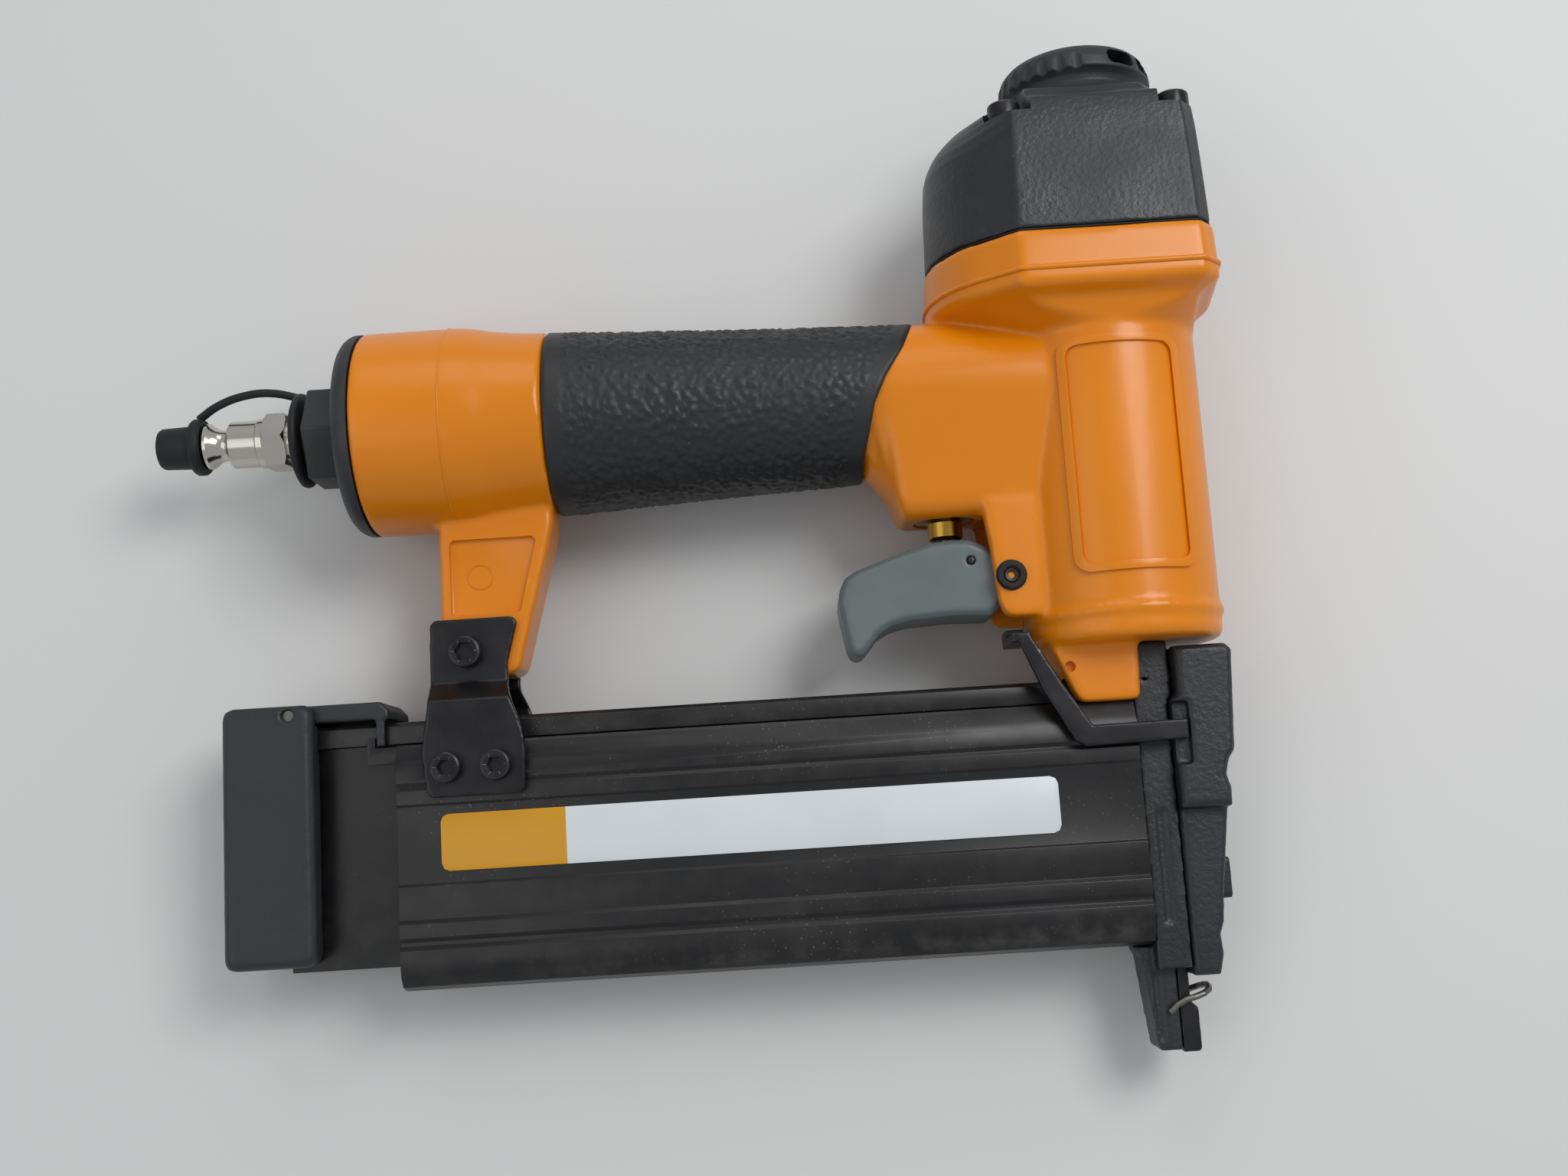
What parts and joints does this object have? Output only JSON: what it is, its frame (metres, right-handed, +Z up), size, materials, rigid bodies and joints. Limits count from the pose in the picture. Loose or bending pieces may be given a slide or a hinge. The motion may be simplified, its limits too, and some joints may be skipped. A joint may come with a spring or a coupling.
{
  "type": "pneumatic brad nailer",
  "caption": "Pneumatic brad nailer lying on its side: round barrel with capped head, rubber grip, trigger, ribbed magazine, nose and air plug.",
  "frame": {"origin": "centre of the footprint of the tool as it lies on a flat bench", "axes": "+X from the air plug towards the nose side, +Y up along the drive axis towards the head cap, +Z up from the bench"},
  "size_m": [0.2836, 0.2622, 0.0676],
  "materials": {
    "orange": "gloss",
    "blackCast": "satin",
    "blackPlastic": "satin",
    "blackSteel": "satin",
    "anodised": "satin",
    "rubber": "matte",
    "grey": "satin",
    "steel": "satin",
    "nickel": "polished",
    "brass": "polished",
    "aluminium": "satin",
    "label": "satin"
  },
  "bodies": {
    "tool_body": {"housing": "orange", "grip_sleeve": "rubber", "handle_end_cap": "blackPlastic", "end_cap_seal": "rubber", "air_plug": "nickel", "dust_cap_tether": "rubber", "cap_gasket": "rubber", "head_cap": "blackCast", "cap_screw_1": "blackSteel", "cap_screw_2": "blackSteel", "cap_screw_3": "blackSteel", "cap_screw_4": "blackSteel", "deflector_screw": "blackSteel", "head_valve_spring": "steel", "cylinder_sleeve": "aluminium", "cylinder_seal": "rubber", "bumper": "rubber", "trigger_pivot_pin": "steel", "pin_grommet_near": "rubber", "pin_grommet_far": "rubber", "valve_body": "brass", "valve_spring": "steel", "nose_body": "blackCast", "driver_guide": "blackSteel", "front_cover": "blackCast", "cover_screw_1": "blackSteel", "cover_screw_2": "blackSteel", "nose_clip": "steel", "magazine_channel": "anodised", "brad_strip": "steel", "label_plate": "label", "bracket_near": "blackSteel", "bracket_far": "blackSteel", "bracket_bolt": "blackSteel", "bracket_nut": "steel", "bracket_screw_1": "blackSteel", "bracket_screw_2": "blackSteel", "bracket_screw_3": "blackSteel", "bracket_screw_4": "blackSteel"},
    "exhaust_deflector": {"exhaust_deflector": "blackPlastic"},
    "head_valve": {"head_valve": "blackPlastic"},
    "piston": {"piston": "aluminium", "piston_ring": "rubber", "driver_blade": "steel"},
    "trigger": {"trigger": "grey", "trigger_lever": "steel", "lever_pin": "blackSteel"},
    "valve_stem": {"valve_stem": "steel"},
    "trip_link": {"trip_link": "blackSteel"},
    "magazine_slide": {"magazine_rail": "anodised", "magazine_end_cap": "blackPlastic", "latch_pin": "steel", "latch_spring": "steel", "pusher_spring": "steel"},
    "latch_lever": {"latch_lever": "blackPlastic"},
    "pusher": {"pusher": "steel"},
    "dust_cap": {"dust_cap": "rubber"}
  },
  "joints": [
    {"name": "deflector_turn", "type": "hinge", "parent": "tool_body", "child": "exhaust_deflector", "pos_m": [0.11079, 0.12361, 0.03803], "axis": [-0.0009, 0.9965, 0.0838], "continuous": true},
    {"name": "head_valve_lift", "type": "slide", "parent": "tool_body", "child": "head_valve", "axis": [-0.0009, 0.9965, 0.0838], "range_m": [0, 0.003], "stiffness_N_per_m": 500, "springref_m": -0.004, "deforming": ["head_valve_spring"]},
    {"name": "piston_stroke", "type": "slide", "parent": "tool_body", "child": "piston", "axis": [0.0009, -0.9965, -0.0838], "range_m": [0, 0.08]},
    {"name": "trigger_pull", "type": "hinge", "parent": "tool_body", "child": "trigger", "pos_m": [0.08091, -0.00944, 0.02622], "axis": [0.0206, 0.0838, -0.9963], "range_deg": [0, 8], "stiffness_Nm_per_rad": 0.5, "springref_deg": -11.46},
    {"name": "valve_stem_lift", "type": "slide", "parent": "tool_body", "child": "valve_stem", "axis": [-0.0009, 0.9965, 0.0838], "range_m": [0, 0.0021], "deforming": ["valve_spring"]},
    {"name": "trip_link_slide", "type": "slide", "parent": "tool_body", "child": "trip_link", "axis": [-0.0009, 0.9965, 0.0838], "range_m": [0, 0.0025], "stiffness_N_per_m": 300, "springref_m": -0.003},
    {"name": "magazine_open", "type": "slide", "parent": "tool_body", "child": "magazine_slide", "axis": [-0.9998, 0.0009, -0.0206], "range_m": [0, 0.11]},
    {"name": "latch_lift", "type": "hinge", "parent": "magazine_slide", "child": "latch_lever", "pos_m": [-0.10463, -0.03359, 0.02035], "axis": [-0.0206, -0.0838, 0.9963], "range_deg": [0, 8], "stiffness_Nm_per_rad": 0.2, "springref_deg": -11.46, "deforming": ["latch_spring"]},
    {"name": "pusher_draw", "type": "slide", "parent": "magazine_slide", "child": "pusher", "axis": [-0.9998, 0.0009, -0.0206], "range_m": [0, 0.06], "stiffness_N_per_m": 25, "springref_m": -0.06, "deforming": ["pusher_spring"]},
    {"name": "dust_cap_pull", "type": "slide", "parent": "tool_body", "child": "dust_cap", "axis": [-0.9998, 0.0009, -0.0206], "range_m": [0, 0.013], "deforming": ["dust_cap_tether"]}
  ],
  "couplings": [
    {"joint": "valve_stem_lift", "follows": "trigger_pull", "m_per_rad": 0.0146}
  ]
}
